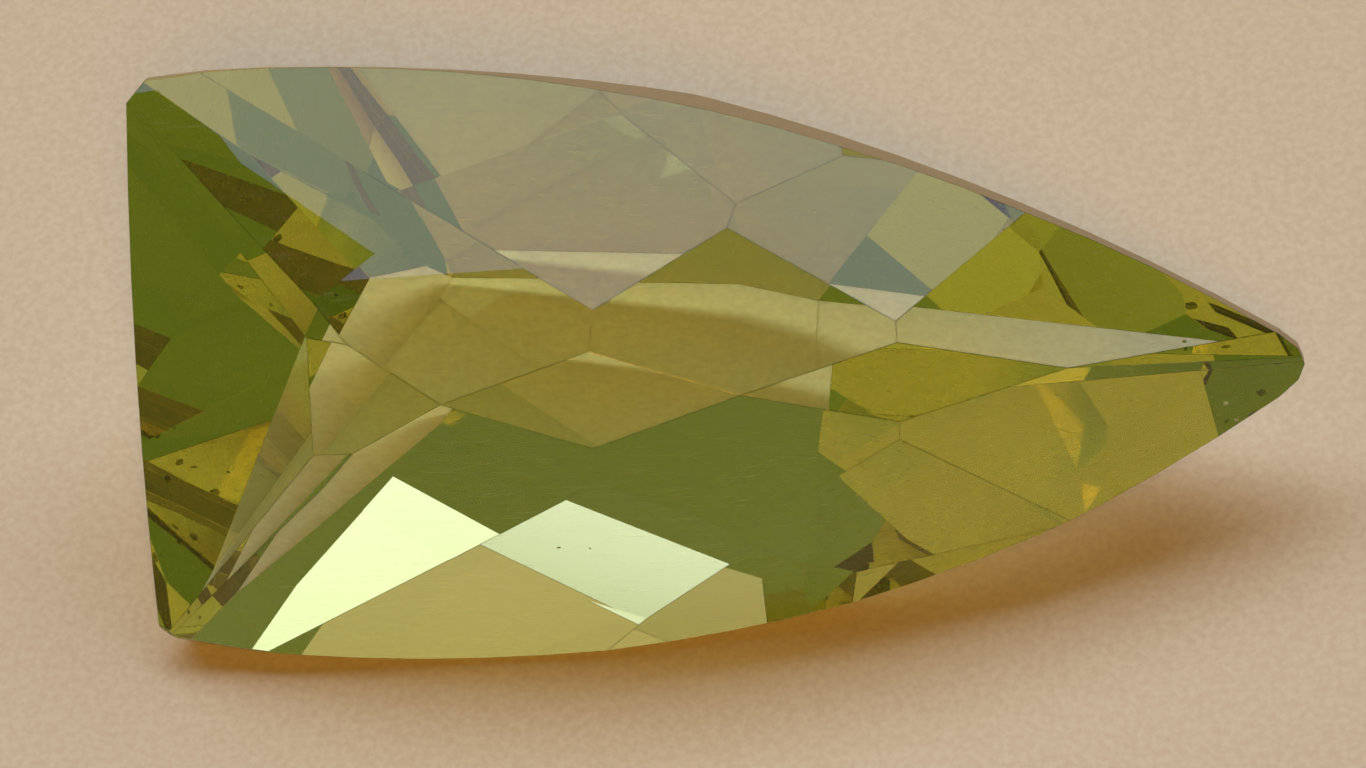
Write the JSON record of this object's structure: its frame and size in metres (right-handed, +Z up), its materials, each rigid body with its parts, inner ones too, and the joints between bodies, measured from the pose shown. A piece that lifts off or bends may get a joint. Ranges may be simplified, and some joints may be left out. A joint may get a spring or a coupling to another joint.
{
  "type": "faceted lemon quartz gemstone",
  "caption": "Clear lemon quartz cut as a long rounded shield, with a checkerboard crown and a faceted pavilion, lying on one of its facets.",
  "frame": {"origin": "centre of the bounding box's bottom face, on the surface that the stone lies on", "axes": "+X along the stone towards its tip, +Z up, crown tilted towards -Y"},
  "size_m": [0.022, 0.0084, 0.0087],
  "materials": {
    "lemon_quartz": "clear polished greenish yellow quartz, see-through, with a frosted girdle"
  },
  "bodies": {
    "root": {"stone": "lemon_quartz"}
  },
  "joints": []
}
